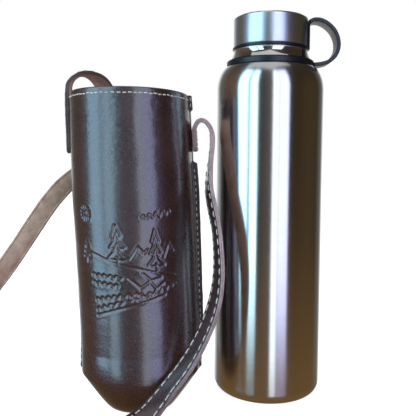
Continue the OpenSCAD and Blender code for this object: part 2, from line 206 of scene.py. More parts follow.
def leather(name, wear_and_hollow_shade=True):
    """Dark reddish brown, glossy, finely pebbled leather, with painted shade in the pebbles' hollows and in
    concave places, and lighter rubbed high spots.
    """
    s = Shader(name)
    warp = s.add("ShaderNodeTexNoise", {"Vector": s.scaled(130), "Scale": 1.0, "Detail": 2.0})
    push = s.add("ShaderNodeVectorMath", {0: warp.outputs["Color"]}, operation="SCALE")
    push.inputs["Scale"].default_value = 0.0022
    bent = s.add("ShaderNodeVectorMath", {0: s.place, 1: push.outputs[0]}, operation="ADD").outputs[0]
    pebble = s.span(s.cells(bent, 640), 0.1, 0.75, 1, 0)
    small = s.span(s.cells(bent, 1350), 0.1, 0.75, 1, 0)
    height = s.maths("ADD", s.maths("MULTIPLY", pebble, 0.62), s.maths("MULTIPLY", small, 0.38))
    wrinkle = s.noise(s.scaled(90, 90, 260), detail=4, rough=0.6)
    cloud = s.noise(s.scaled(38), detail=5, rough=0.6)
    long_cloud = s.noise(s.scaled(16, 16, 7), detail=3)
    base = s.mix(s.span(cloud, 0.3, 0.7), (0.046, 0.0145, 0.0120), (0.088, 0.028, 0.0225))
    base = s.mix(s.span(long_cloud, 0.4, 0.75, 0, 0.5), base, (0.105, 0.040, 0.030))
    # painted shade: the pebbles' hollows are darkened towards near black
    base = s.mix(s.span(height, 0.2, 0.55, 0.5, 0.0), base, (0.016, 0.006, 0.005))
    if wear_and_hollow_shade:
        # rubbed wear lightens the convex edges; painted shade darkens the concave places
        edge = s.add("ShaderNodeNewGeometry").outputs["Pointiness"]
        base = s.mix(s.span(edge, 0.52, 0.60, 0, 0.5), base, (0.16, 0.075, 0.045))
        base = s.mix(s.span(edge, 0.47, 0.40, 0, 0.75), base, (0.008, 0.004, 0.003))
    fine = s.bump(s.noise(s.scaled(2600), detail=2), 0.08, 0.0002)
    creased = s.bump(wrinkle, 0.22, 0.0011, fine)
    s.set(Base_Color=base,
          Roughness=s.maths("ADD", s.span(height, 0.1, 0.8, 0.36, 0.24),
                            s.span(cloud, 0.3, 0.7, -0.03, 0.05)),
          IOR=1.5, Specular_IOR_Level=0.6, Specular_Tint=(0.80, 0.88, 1.0, 1.0),
          Coat_Weight=1.0, Coat_IOR=1.7, Coat_Roughness=0.21,
          Normal=s.bump(height, 0.34, 0.0005, creased))
    return s.material


def raw_edge(name):
    """The cut, pinkish edge of the leather, with its fibres along the cut, and painted shade darkening it
    towards the left.
    """
    s = Shader(name)
    fibre = s.noise(s.scaled(1700, 1700, 500), detail=4)
    cloud = s.noise(s.scaled(90), detail=3)
    base = s.ramp(fibre, [(0.3, (0.36, 0.22, 0.20)), (0.7, (0.78, 0.55, 0.52))])
    base = s.mix(s.span(cloud, 0.35, 0.7, 0, 0.45), base, (0.22, 0.12, 0.10))
    # painted shade: the cut edge darkens towards the left, where the strap lies in shadow
    across = s.add("ShaderNodeSeparateXYZ", {"Vector": s.place}).outputs["X"]
    base = s.mix(s.span(across, -0.11, -0.055, 0.85, 0), base, (0.055, 0.026, 0.020))
    s.set(Base_Color=base, Roughness=0.78, Normal=s.bump(fibre, 0.5, 0.0003))
    return s.material


def shade_darkened_edge(name):
    """The case's cut edges, painted near black for the shade they sit in, rubbed smooth, with a few lighter
    fibres.
    """
    s = Shader(name)
    fibre = s.noise(s.scaled(1500, 1500, 400), detail=4)
    # painted shade: the edge colour is near black
    base = s.ramp(fibre, [(0.35, (0.022, 0.010, 0.008)), (0.75, (0.085, 0.045, 0.035))])
    s.set(Base_Color=base, Roughness=s.span(fibre, 0.3, 0.7, 0.42, 0.6), Normal=s.bump(fibre, 0.4, 0.0003))
    return s.material


def suede(name):
    """The rough flesh side of the leather: napped fibres, light and dark patches."""
    s = Shader(name)
    nap = s.noise(s.scaled(1900), detail=5, rough=0.7)
    patch = s.noise(s.scaled(110), detail=5, rough=0.65)
    base = s.ramp(nap, [(0.3, (0.30, 0.15, 0.09)), (0.72, (0.62, 0.36, 0.24))])
    base = s.mix(s.span(patch, 0.35, 0.68, 0, 0.7), base, (0.74, 0.46, 0.32))
    s.set(Base_Color=base, Roughness=0.93, Sheen_Weight=0.25, Sheen_Roughness=0.5,
          Normal=s.bump(s.mix(0.4, nap, patch), 0.55, 0.0005))
    return s.material


def waxed_thread(name):
    """Cream waxed thread with a twist, darker where it is soiled."""
    s = Shader(name)
    twist = s.noise(s.scaled(2600), detail=3)
    soil = s.noise(s.scaled(160), detail=3)
    base = s.ramp(twist, [(0.3, (0.70, 0.57, 0.40)), (0.7, (0.95, 0.86, 0.70))])
    s.set(Base_Color=s.mix(s.span(soil, 0.45, 0.75, 0, 0.5), base, (0.30, 0.22, 0.14)),
          Roughness=0.62, Sheen_Weight=0.2, Normal=s.bump(twist, 0.5, 0.0003))
    return s.material


def floor_paint(name):
    """A white backdrop lit from within, so only soft contact shadows show on it."""
    s = Shader(name)
    cloud = s.noise(s.scaled(3), detail=3)
    s.set(Base_Color=s.ramp(cloud, [(0.3, (0.78, 0.78, 0.78)), (0.7, (0.82, 0.82, 0.82))]), Roughness=0.9,
          Specular_IOR_Level=0.0, Emission_Color=(1, 1, 1, 1), Emission_Strength=0.9)
    return s.material


# ---------------------------------------------------------------- mesh helpers

def add_mesh(name, points, faces, materials, body=None, nodes=(), slot=None, sharp=35, face_materials=None):
    """A piece from points in metres. It rides on a body and stands for the CAD nodes named."""
    mesh = bpy.data.meshes.new(name)
    mesh.from_pydata([tuple(p) for p in points], [], [tuple(int(i) for i in f) for f in faces])
    for material in materials:
        mesh.materials.append(material)
    if face_materials is not None:
        mesh.polygons.foreach_set("material_index", np.asarray(face_materials, np.int32))
    mesh.shade_smooth()
    mesh.set_sharp_from_angle(angle=math.radians(sharp))
    piece = bpy.data.objects.new(name, mesh)
    bpy.context.scene.collection.objects.link(piece)
    if body:
        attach(piece, body)
    if nodes:
        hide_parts(*nodes)
    return piece


def grid_faces(rows, columns, wrap_rows=False):
    """Quads of a grid of points, row after row, with each row closed into a ring."""
    r = np.arange(rows if wrap_rows else rows - 1)[:, None]
    c = np.arange(columns)[None, :]
    r2, c2 = (r + 1) % rows, (c + 1) % columns
    quads = np.stack([r * columns + c, r * columns + c2, r2 * columns + c2, r2 * columns + c], axis=-1)
    return quads.reshape(-1, 4)


def end_caps(rows, columns):
    """The two faces that close a tube of rings."""
    return [list(range(columns))[::-1], [(rows - 1) * columns + i for i in range(columns)]]


def arc(cx, cz, rx, rz, start, end, steps):
    angles = np.radians(np.linspace(start, end, steps + 1))
    return [(cx + rx * math.cos(a), cz + rz * math.sin(a)) for a in angles]


def rounded(points, radius, steps=4):
    """A closed outline with each corner rounded off by that radius, or by less where the sides are short."""
    out = []
    count = len(points)
    for i, p in enumerate(points):
        p = Vector(p)
        before, after = Vector(points[i - 1]) - p, Vector(points[(i + 1) % count]) - p
        turn = before.angle(after)
        reach = min(radius / math.tan(turn / 2), before.length * 0.45, after.length * 0.45)
        a, b = p + before.normalized() * reach, p + after.normalized() * reach
        for k in range(steps + 1):
            t = k / steps
            out.append(tuple(a * (1 - t) ** 2 + p * 2 * t * (1 - t) + b * t * t))
    return out


def lathe(name, outline, materials, zone=None, segments=160, **where):
    """Turns an outline of (radius, height) in millimetres, closed on itself or with both ends on the axis."""
    angles = np.linspace(0, 2 * math.pi, segments, endpoint=False)
    outline = np.array(outline)
    on_axis = outline[0][0] < 1e-6 and outline[-1][0] < 1e-6
    ring = outline[1:-1] if on_axis else outline
    points = np.stack([np.outer(ring[:, 0], np.cos(angles)), np.outer(ring[:, 0], np.sin(angles)),
                       np.repeat(ring[:, 1:], segments, axis=1)], axis=-1).reshape(-1, 3)
    faces = [list(f) for f in grid_faces(len(ring), segments, wrap_rows=not on_axis)]
    kinds = [zone(ring[i // segments], ring[(i // segments + 1) % len(ring)]) if zone else 0
             for i in range(len(faces))]
    if on_axis:
        first, last = len(points), len(points) + 1
        points = np.vstack([points, [0, 0, outline[0][1]], [0, 0, outline[-1][1]]])
        top = (len(ring) - 1) * segments
        for k in range(segments):
            n = (k + 1) % segments
            faces += [[first, n, k], [last, top + k, top + n]]
        first_kind, last_kind = (zone(outline[0], ring[0]), zone(ring[-1], outline[-1])) if zone else (0, 0)
        kinds += [first_kind, last_kind] * segments
    return add_mesh(name, points * MM, faces, materials, face_materials=kinds, **where)


# ---------------------------------------------------------------- bottle and lid

def millimetres(node):
    """The low and high corners of a CAD node's box."""
    low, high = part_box(node)
    return np.array(low) / MM, np.array(high) / MM


def build_bottle(looks):
    """The brushed outer wall with its polished neck, and the lid's cover with its bevel."""
    _, high = millimetres("outer_shell")
    ring_low, ring_high = millimetres("neck_ring")
    radius, top = high[0], high[2]
    corner, base_hole, wall = 9.0, 27.0, 0.9
    shoulder_z, shoulder_a, shoulder_b = 244.0, 13.0, 21.0
    groove, flare, neck = 32.3, 33.2, 30.0
    groove_low, groove_high = ring_low[2] - 0.3, ring_high[2] + 0.3
    outside = [(base_hole, 0.0)]
    outside += arc(radius - corner, corner, corner, corner, -90, 0, 20)
    outside += [(radius, z) for z in (40, 100, 160, 220)]
    outside += arc(radius - shoulder_a, shoulder_z, shoulder_a, shoulder_b, 0, 60, 32)
    outside += [(36.0, groove_low - 0.1), (35.4, groove_low), (groove, groove_low), (groove, groove_high),
                (flare - 0.4, groove_high), (flare, groove_high + 0.25)]
    steps = 24
    for k in range(1, steps + 1):
        rise = k / steps
        outside.append((neck + (flare - neck) * (1 - rise) ** 1.6, groove_high + (top - groove_high) * rise))
    inner = corner - wall
    inside = [(neck - wall, top), (neck - wall, top - 1), (groove - wall, groove_high + 0.3),
              (groove - wall, groove_low - wall)]
    inside += arc(radius - shoulder_a, shoulder_z, shoulder_a - wall, shoulder_b - wall, 58, 0, 12)
    inside += arc(radius - corner, corner, inner, inner, 0, -90, 8)
    inside += [(base_hole, wall)]

    def zone(a, b):
        return 1 if (a[1] + b[1]) / 2 > groove_low else 0

    lathe("bottle_shell", outside + inside, [looks["steel"], looks["polished"]], zone, 224,
          body="bottle", nodes=["outer_shell"], slot="body_steel")

    lid_low, lid_high = millimetres("lid_shell")
    lid_radius, lid_bottom, lid_top = lid_high[0], lid_low[2], lid_high[2]
    edge, skin = 1.0, 0.7
    crown = [(0, lid_top), (lid_radius * 0.5, lid_top), (lid_radius - edge - 0.6, lid_top)]
    crown += arc(lid_radius - edge - 0.6, lid_top - 0.35, 0.5, 0.35, 90, 30, 3)
    crown += arc(lid_radius - 0.45, lid_top - edge - 0.3, 0.45, 0.35, 50, 0, 3)
    side = [(lid_radius, lid_top - 8), (lid_radius, lid_bottom + 0.9), (lid_radius - 0.2, lid_bottom + 0.3),
            (lid_radius - 0.35, lid_bottom), (lid_radius - skin, lid_bottom),
            (lid_radius - skin, lid_top - 1.5), (lid_radius - 1.4, lid_top - 0.85), (0, lid_top - 0.85)]

    def lid_zone(a, b):
        r, z = (a[0] + b[0]) / 2, (a[1] + b[1]) / 2
        bevel = r > lid_radius - edge - 0.8 and lid_top - edge - 0.4 < z < lid_top - 0.02
        return 1 if bevel else 2 if z > lid_top - 0.5 else 0

    lathe("lid_cover", (crown + side)[::-1], [looks["steel_lid"], looks["polished"], looks["steel_top"]],
          lid_zone, 200, body="lid", nodes=["lid_shell"], slot="body_steel")


def build_loop(looks):
    """The rubber carry loop: the neck ring, and the lid ring with its plate."""
    rubber = [looks["rubber"]]
    low, high = millimetres("neck_ring")
    groove = 32.6
    outline = rounded([(groove, low[2]), (high[0], low[2]), (high[0], high[2]), (groove, high[2])], 1.1, 5)
    lathe("neck_ring_rubber", outline, rubber, segments=160, body="neck_loop", nodes=["neck_ring"],
          slot="loop_rubber")

    low, high = millimetres("lid_ring")
    ring_in, ring_out, ring_top = 27.3, 30.4, 278.6
    outline = rounded([(ring_in, low[2]), (ring_out, low[2]), (ring_out, ring_top), (ring_in, ring_top)],
                      0.7, 4)
    lathe("lid_ring_rubber", outline, rubber, segments=160, body="lid_loop", nodes=["lid_ring"],
          slot="loop_rubber")
    inner, outer = 29.96, high[0]
    half_angle, end_step = 16.3, 0.8
    plate_low, plate_high = ring_top - 1.5, high[2]
    section = rounded([(inner, plate_low), (outer, plate_low), (outer, plate_high), (inner, plate_high)],
                      0.6, 3)
    inside = np.linspace(-half_angle + end_step, half_angle - end_step, 15)
    angles = np.radians(np.concatenate([[-half_angle], inside, [half_angle]]))
    points = []
    middle = np.mean(section, axis=0)
    for k, a in enumerate(angles):
        # the end rings are drawn in, to round the plate's long edges
        tight = np.array([0.72, 0.9832]) if k in (0, len(angles) - 1) else 1.0
        for r, z in middle + (np.array(section) - middle) * tight:
            points.append((r * math.cos(a), r * math.sin(a), z))
    rings = (len(angles), len(section))
    faces = [list(f)[::-1] for f in [*grid_faces(*rings), *end_caps(*rings)]]
    plate = add_mesh("lid_ring_plate", np.array(points) * MM, faces, rubber, body="lid_loop",
                     slot="loop_rubber")
    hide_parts("lid_ring")


# The middle line of the band, from the lid's side round to the neck.
BAND = [(30.6, 298.9), (34, 300.4), (39, 300.2), (44.5, 297.6), (49.8, 292.6), (53, 286),
        (53.6, 279), (51.4, 272.8), (46.5, 268), (40.5, 265.9), (34.6, 265.2)]


def catmull(points, per_span):
    """A smooth line through points, with that many steps in each span."""
    p = np.array(points, float)
    p = np.vstack([2 * p[0] - p[1], p, 2 * p[-1] - p[-2]])
    out = []
    for i in range(1, len(p) - 2):
        for t in np.arange(per_span) / per_span:
            out.append(0.5 * (2 * p[i] + (p[i + 1] - p[i - 1]) * t
                              + (2 * p[i - 1] - 5 * p[i] + 4 * p[i + 1] - p[i + 2]) * t * t
                              + (3 * p[i] - p[i - 1] - 3 * p[i + 1] + p[i + 2]) * t ** 3))
    out.append(p[-2])
    return np.array(out)


def build_band(looks):
    """The rubber band, which stretches between the neck's ring and the lid's."""
    low, high = millimetres("loop_band")
    half, thick = (high[1] - low[1]) / 2, 3.0
    line = catmull(BAND, 8)
    along = np.gradient(line, axis=0)
    along /= np.linalg.norm(along, axis=1)[:, None]
    side = np.stack([-along[:, 1], along[:, 0]], axis=1)
    section = rounded([(-half, -thick / 2), (half, -thick / 2), (half, thick / 2), (-half, thick / 2)],
                      0.9, 4)
    points = []
    for k, p in enumerate(line):
        for y, t in section:
            x, z = p + side[k] * t
            points.append((x, y, z))
    rings = (len(line), len(section))
    faces = [*grid_faces(*rings), *end_caps(*rings)]
    piece = add_mesh("loop_band_rubber", np.array(points) * MM, faces, [looks["rubber"]], nodes=["loop_band"],
                     slot="loop_rubber")
    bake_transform(piece)


# ---------------------------------------------------------------- leather case

def table(z, *rows):
    """Reads values between the rows of (height, value)."""
    rows = np.array(rows, float)
    return np.interp(z, rows[:, 0], rows[:, 1])


CASE_H = 239.0
FOLD_H = 42.0
FOOT_B = 21.0
LEATHER, LINING = 2.2, 1.1
SQUARENESS = 0.92
FIN_ROOT = math.radians(2.12)


def case_a(z):
    """Half the case's width."""
    return table(z, (0, 25), (26, 45.9), (60, 46.6), (120, 47.6), (165, 48.3), (215, 47.5), (CASE_H, 47.3))


def case_b(z):
    """Half the case's depth, which closes in over the folded bottom."""
    folded = FOOT_B + (47.8 - FOOT_B) * np.sqrt(np.clip(1 - (1 - z / FOLD_H) ** 2, 0, 1))
    return np.where(z < FOLD_H, folded, table(z, (FOLD_H, 47.8), (CASE_H, 47.3)))


def case_place(z, x, y):
    """Puts points of the case's own section at height z into the scene, in millimetres."""
    w = np.radians(table(z, (0, 5), (40, 0), (CASE_H, -9)))
    cx = table(z, (0, -100.5), (57, -102), (123, -105.5), (188, -109.2), (CASE_H, -111.6))
    cy = table(z, (0, -29), (45, -19.5), (CASE_H, -7))
    return np.stack([cx + x * np.cos(w) - y * np.sin(w), cy + x * np.sin(w) + y * np.cos(w),
                     z - 2.5 * (z / CASE_H) ** 3 * y / case_b(z)], axis=-1)


def fin_half(z):
    """Half the thickness of the raw side edges."""
    return case_b(z) * math.sin(FIN_ROOT) ** SQUARENESS


def oval(z, t, inset=0.0):
    c, s = np.cos(t), np.sin(t)
    return ((case_a(z) - inset) * np.sign(c) * np.abs(c) ** SQUARENESS,
            (case_b(z) - inset) * np.sign(s) * np.abs(s) ** SQUARENESS)


def on_case(z, t, inset=0.0):
    """Points of the case's surface at height z and angle t, moved in by an inset."""
    z, t = np.broadcast_arrays(np.asarray(z, float), np.asarray(t, float))
    return case_place(z, *oval(z, t, inset))


# The pressed picture: plain hills, firs, ripples and a sun, each a line in (arc length, height) millimetres,
# measured from the middle of the front.
def fir(u, foot, top, width):
    lines = [[(u, foot), (u, foot + 5)]]
    tiers = 3
    for k in range(tiers):
        low = foot + 4 + (top - foot - 4) * k / tiers
        high = foot + 4 + (top - foot - 4) * (k + 1.35) / tiers
        w = width * (1 - 0.27 * k)
        lines.append([(u - w, low), (u - w * 0.35, low + (high - low) * 0.42), (u, min(high, top))])
        lines.append([(u + w, low), (u + w * 0.35, low + (high - low) * 0.42), (u, min(high, top))])
        lines.append([(u - w, low), (u - w * 0.4, low - 0.9), (u + w * 0.4, low - 0.9), (u + w, low)])
    return lines


def sun(u, v, core, reach, rays):
    lines = [[(u + core * math.cos(a), v + core * math.sin(a)) for a in np.linspace(0, 2 * math.pi, 17)]]
    for k in range(rays):
        a = 2 * math.pi * (k + 0.5) / rays
        lines.append([(u + (core + 1.3) * math.cos(a), v + (core + 1.3) * math.sin(a)),
                      (u + reach * math.cos(a), v + reach * math.sin(a))])
    return lines


def wave(u0, u1, v0, v1, height, turns, steps=36):
    return [(u0 + (u1 - u0) * k / steps, v0 + (v1 - v0) * k / steps
             + height * math.sin(2 * math.pi * turns * k / steps)) for k in range(steps + 1)]


PICTURE = (
    sun(-30, 148.5, 2.2, 5.2, 12)
    + fir(-5, 113, 141, 7.0) + fir(21, 108.5, 138, 6.6) + fir(-31, 113.5, 128, 4.2)
    + [[(-35, 117), (-27, 120.5), (-20, 118.5), (-10, 114.5), (2, 111.5), (12, 109), (22, 106.5),
        (36, 104.5)],
       [(2, 117), (8, 126), (12, 121), (15, 124)], [(27, 118), (32, 128), (36, 122)],
       [(1, 103), (8, 96.5), (15, 101), (20, 95.5), (27, 100.5), (36, 98.5)],
       [(10, 107), (16, 101.5), (24, 103.5)],
       wave(12, 35, 146.5, 150.5, 1.5, 4.5), wave(-27, -3, 104.5, 103.5, 1.0, 5),
       wave(-27, -6, 99, 97.5, 1.0, 4.5),
       wave(-25, 8, 86.5, 92.5, 1.2, 7), wave(-25, 34, 79.5, 98, 1.3, 11),
       [(-25, 75.5), (-10, 80), (8, 85.5), (26, 91)]]
)


def press_depth(u, v):
    """How deep the picture is pressed at points (u, v): about half a millimetre along its lines."""
    nearest = np.full(u.shape, 1e9)
    for line in PICTURE:
        for (ua, va), (ub, vb) in zip(line, line[1:]):
            du, dv = ub - ua, vb - va
            t = np.clip(((u - ua) * du + (v - va) * dv) / (du * du + dv * dv + 1e-9), 0, 1)
            nearest = np.minimum(nearest, np.hypot(u - ua - t * du, v - va - t * dv))
    groove = np.exp(-(nearest / 0.75) ** 2)
    lip = np.exp(-((nearest - 1.9) / 0.8) ** 2)
    return 0.62 * groove - 0.13 * lip


def field(points, scale, seed=0.0, octaves=4):
    """Soft noise between about -1 and 1 at points in millimetres."""
    flat = np.asarray(points).reshape(-1, 3)
    values = [noise.fractal(Vector((p[0] / scale + seed, p[1] / scale, p[2] / scale)), 0.9, 2.0, octaves)
              for p in flat]
    return np.array(values).reshape(np.asarray(points).shape[:-1])


def case_heights():
    step = 0.8
    body = np.arange(3, CASE_H - 3, step)
    rim = [CASE_H - 2.4, CASE_H - 1.5, CASE_H - 0.8, CASE_H - 0.3]
    return np.concatenate([[0, 0.5, 1.2, 2.0], body, rim])


def build_case(looks):
    """The folded strip of leather: a dense outer skin with creases and the pressed picture, a raw rim and
    foot edge, raw side edges with a groove between their two layers, and the rough lining inside."""
    heights = case_heights()
    front = 300
    back = 130
    angles_back = np.linspace(FIN_ROOT, math.pi - FIN_ROOT, back)
    angles_front = np.linspace(math.pi + FIN_ROOT, 2 * math.pi - FIN_ROOT, front)
    z, t = np.meshgrid(heights, np.concatenate([angles_back, angles_front]), indexing="ij")
    base = on_case(z, t)
    # round the skin in towards the rim and the foot
    rim = np.clip((z - (CASE_H - 1.1)) / 1.1, 0, 1)
    inset = 0.9 * (1 - np.sqrt(1 - rim ** 2 * 0.96))
    # creases: a few soft folds near the rim and a general waviness
    soft = field(base, 34, 3.1, 2)
    crease = field(np.stack([base[..., 0] * 1.0, base[..., 1], base[..., 2] * 2.6], -1), 11, 7.7, 3)
    near_top = np.clip((z - 150) / 60, 0, 1) * np.clip((CASE_H - 2 - z) / 10, 0, 1)
    low_part = np.clip((110 - z) / 60, 0, 1) * np.clip(z / 12, 0, 1)
    calm = np.clip(z / 10, 0, 1) * np.clip((CASE_H - z) / 8, 0, 1)
    folds = (1 - np.abs(crease) * 2).clip(-1, 1) * (0.015 + 0.09 * near_top + 0.02 * low_part)
    dents = soft * 0.22 * calm + folds
    # the picture
    on_front = t > math.pi
    u = (t - 1.5 * math.pi) * 47.8
    pressed = np.where(on_front & (z > 70) & (z < 160), press_depth(u, z), 0.0)
    # the skin runs up to the raw side edges without a bump
    side = np.minimum(np.abs(np.sin(t)) / 0.2, 1)
    inset = inset + (dents * 0.8 + pressed) * side
    skin = on_case(z, t, inset)
    rows = len(heights)
    # side edges: two layers with a groove between them, drawn out from the skin on either side
    half = fin_half(heights)
    right = table(heights, (0, 2), (35, 2), (60, 3.5), (186, 3.5), (187.5, 0.3), (226.5, 0.3), (228, 2),
                  (CASE_H, 2)) - 0.1
    left = table(heights, (0, 2), (186, 2), (187.5, 0.3), (CASE_H, 0.3)) - 0.1
    uneven = field(np.stack([heights * 0, heights * 0, heights], -1), 9, 1.3, 3) * 0.25
    right, left = right + uneven * (right > 1), left + uneven[::-1] * (left > 1)
    shape = [(0.25, 1.0), (0.82, 0.99), (0.96, 0.9), (1.0, 0.68), (0.985, 0.3), (0.86, 0.07)]
    a = case_a(heights)

    def edge(side_sign, reach):
        run = shape + [(f, -s) for f, s in shape[::-1]]
        return np.stack([case_place(heights, side_sign * (a + f * reach), side_sign * s * -half)
                         for f, s in run], axis=1)

    # ring order: back from right to left, left edge, front from left to right, right edge
    left_edge, right_edge = edge(-1, left), edge(1, right)
    ring = np.concatenate([skin[:, :back], left_edge, skin[:, back:], right_edge], axis=1)
    n = ring.shape[1]
    first_left, first_front = back, back + left_edge.shape[1]
    first_right = first_front + front
    column = np.arange(n)
    is_edge = (((column >= first_left) & (column < first_front - 1))
               | ((column >= first_right) & (column < n - 1)))
    faces = grid_faces(rows, n)
    kind = np.tile(is_edge.astype(int), rows - 1)
    # rim: across the cut edge, and the inner face down behind the lining
    inner_t = np.concatenate([angles_back, np.linspace(math.pi - 0.02, math.pi + 0.02, left_edge.shape[1]),
                              angles_front, np.linspace(-0.02, 0.02, right_edge.shape[1])])
    rim_rows = np.array([on_case(v, inner_t, inset_in) for v, inset_in in (
        (CASE_H, 0.85), (CASE_H, LEATHER - 0.35), (CASE_H - 0.35, LEATHER), (CASE_H - 12, LEATHER),
        (120, LEATHER), (FOLD_H, LEATHER), (22, LEATHER), (10, LEATHER), (LEATHER, LEATHER))])
    points = np.concatenate([ring.reshape(-1, 3), rim_rows.reshape(-1, 3)])
    faces = np.concatenate([faces, grid_faces(1 + len(rim_rows), n) + (rows - 1) * n])
    kind = np.concatenate([kind, np.repeat([1, 1, 2, 2, 2, 2, 2, 2, 2], n)])
    all_faces = [*faces, *end_caps(rows + len(rim_rows), n)]
    kinds = list(kind) + [0, 2]
    add_mesh("case_leather", points * MM, all_faces, [looks["leather"], looks["dark_edge"], looks["suede"]],
             body="carrier", nodes=["case_panel"], slot="case_leather", sharp=50, face_materials=kinds)

    # the lining: a thin bag inside, its top edge just under the rim
    t_in = np.linspace(0, 2 * math.pi, 240, endpoint=False)
    gap = LEATHER + 0.05
    z_out = np.array([gap, 5, 12, 22, 32, 42, 60, 90, 120, 150, 180, 210, 230, CASE_H - 1.6, CASE_H - 0.7])
    z_in = np.array([CASE_H - 0.5, CASE_H - 0.7, CASE_H - 1.6, 230, 222, 210, 195, 180, 165, 150, 135, 120,
                     105, 90, 75, 60, 42, 32, 22, 12, 6, gap + LINING])
    outer = np.array([on_case(v, t_in, gap) for v in z_out])
    nap = 0.18
    inner = []
    for k, v in enumerate(z_in):
        inset_in = gap + (0.35 if k == 0 else LINING - 0.25 if k == 1 else LINING)
        row = on_case(v, t_in, inset_in)
        if k > 1:
            row = on_case(v, t_in, inset_in + nap * field(row, 7, 5.0, 2))
        inner.append(row)
    points = np.concatenate([outer.reshape(-1, 3), np.array(inner).reshape(-1, 3)])
    rings = (len(z_out) + len(z_in), len(t_in))
    add_mesh("case_lining_suede", points * MM, [*grid_faces(*rings), *end_caps(*rings)], [looks["suede"]],
             body="carrier", nodes=["case_lining"], slot="suede", sharp=50)


# ---------------------------------------------------------------- stitches

STITCH_SIDES = 8
# along the stitch, height and thickness, each as a share of its length or width
STITCH = [(-0.5, -0.55, 0.35), (-0.46, -0.15, 0.8), (-0.34, 0.22, 1.0), (-0.12, 0.36, 1.05),
          (0.12, 0.36, 1.05), (0.34, 0.22, 1.0), (0.46, -0.15, 0.8), (0.5, -0.55, 0.35)]


def stitch_points(at, along, out, length, width):
    """One thread stitch: a soft sausage bent down into its two holes."""
    along, out = along / np.linalg.norm(along), out / np.linalg.norm(out)
    out = out - along * np.dot(out, along)
    out = out / np.linalg.norm(out)
    side = np.cross(out, along)
    points = []
    for s, lift, thick in STITCH:
        centre = at + along * s * length + out * lift * width
        for k in range(STITCH_SIDES):
            a = 2 * math.pi * k / STITCH_SIDES
            points.append(centre + (side * math.cos(a) + out * math.sin(a) * 0.85) * thick * width / 2)
    return np.array(points)


def stitch_row(name, stitches, looks, node):
    """All stitches of one node in one mesh. Each stitch is (place, along, out, length, width)."""
    points, faces = [], []
    rings = (len(STITCH), STITCH_SIDES)
    for at, along, out, length, width in stitches:
        start = len(points) * len(STITCH) * STITCH_SIDES
        points.append(stitch_points(np.asarray(at), np.asarray(along), np.asarray(out), length, width))
        faces += [[i + start for i in f] for f in [*grid_faces(*rings), *end_caps(*rings)]]
    add_mesh(name, np.concatenate(points) * MM, faces, [looks["thread"]], body="carrier", nodes=[node],
             slot="thread", sharp=60)


def build_case_stitches(looks):
    """The rows round the rim, up both side seams and across the cut corners."""
    z = CASE_H - 4.5
    rim = []
    count = 78
    for k in range(count):
        degrees = 360 * (k + 0.5) / count
        # no stitches in the right seam, nor under the strap at the left
        if min(degrees, 360 - degrees) > 5 and abs(degrees - 191) > 18:
            t = math.radians(degrees)
            at = on_case(z, t, 0.05)
            wobble = 0.18 * math.sin(k * 2.4)
            tilt = np.array([0, 0, 0.10 * math.sin(k * 1.7)])
            along = on_case(z, t + 0.02) - on_case(z, t - 0.02)
            along = along / np.linalg.norm(along) + tilt
            rim.append((at + np.array([0, 0, wobble]), along, at - on_case(z, t, 5), 3.0, 0.95))
    stitch_row("rim_thread", rim, looks, "rim_stitches")

    def seam(side, heights):
        rows = []
        for v in map(float, heights):
            for face in (-1, 1):
                def spot(z, away=0.0):
                    return case_place(z, side * (case_a(z) + 1.1), face * (fin_half(z) + 0.02 + away))
                at = spot(v)
                rows.append((at, spot(v + 1) - at, spot(v, 1.0) - at, 2.8, 0.65))
        return rows

    corner = np.arange(3, 25, 3)
    stitch_row("left_seam_thread", seam(-1, np.arange(30, 181, 5)), looks, "left_seam_stitches")
    stitch_row("right_seam_thread", seam(1, [*np.arange(30, 183, 5), 231, 235.5]), looks,
               "right_seam_stitches")
    stitch_row("corner_thread", seam(-1, corner) + seam(1, corner), looks, "corner_stitches")


# ---------------------------------------------------------------- shoulder strap

